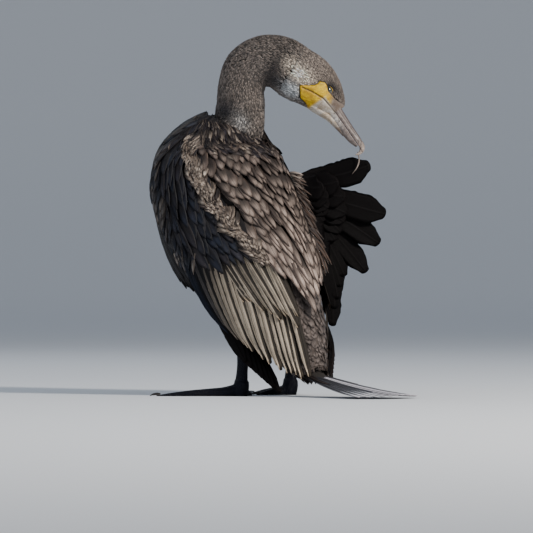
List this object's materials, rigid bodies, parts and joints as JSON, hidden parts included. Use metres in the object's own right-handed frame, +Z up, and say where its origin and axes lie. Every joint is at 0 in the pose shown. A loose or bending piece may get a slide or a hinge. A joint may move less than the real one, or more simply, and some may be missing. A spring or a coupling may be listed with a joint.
{
  "type": "great cormorant model",
  "caption": "Life-size still model of a great cormorant standing upright, neck arched over to preen the fanned feathers of its half open right wing.",
  "frame": {"origin": "middle of the footprint, on the floor under the bird", "axes": "+Z up; the bird's body heads half way between -X and +Y, and its bill points along +X"},
  "size_m": [0.313, 0.308, 0.4284],
  "materials": {
    "plumage": "matt body feathers, dark brown, each with a darker rim",
    "neck_plumage": "short matt feathers, grey brown, pale on the cheek and chin",
    "flight_feathers": "smooth feather vanes with a faint bronze sheen and pale worn edges",
    "bill_horn": "horn, pinkish grey, dark along the ridge",
    "bare_skin": "bare yellow skin, finely wrinkled",
    "leg_skin": "black scaly skin, dull",
    "eye": "wet and glossy, grey green iris round a black pupil"
  },
  "bodies": {
    "root": {"torso": "plumage", "neck_lower": "neck_plumage", "neck_middle": "neck_plumage", "neck_upper": "neck_plumage", "head": "neck_plumage", "eye_left": "eye", "eye_right": "eye", "bill_upper": "bill_horn", "bill_lower": "bill_horn", "gular_pouch": "bare_skin", "thigh_left": "plumage", "tarsus_left": "leg_skin", "foot_left": "leg_skin", "thigh_right": "plumage", "tarsus_right": "leg_skin", "foot_right": "leg_skin", "wing_left_arm": "flight_feathers", "wing_left_hand": "flight_feathers", "wing_right_arm": "flight_feathers", "wing_right_fan": "flight_feathers", "wing_right_hand": "flight_feathers", "tail": "flight_feathers"}
  },
  "joints": []
}
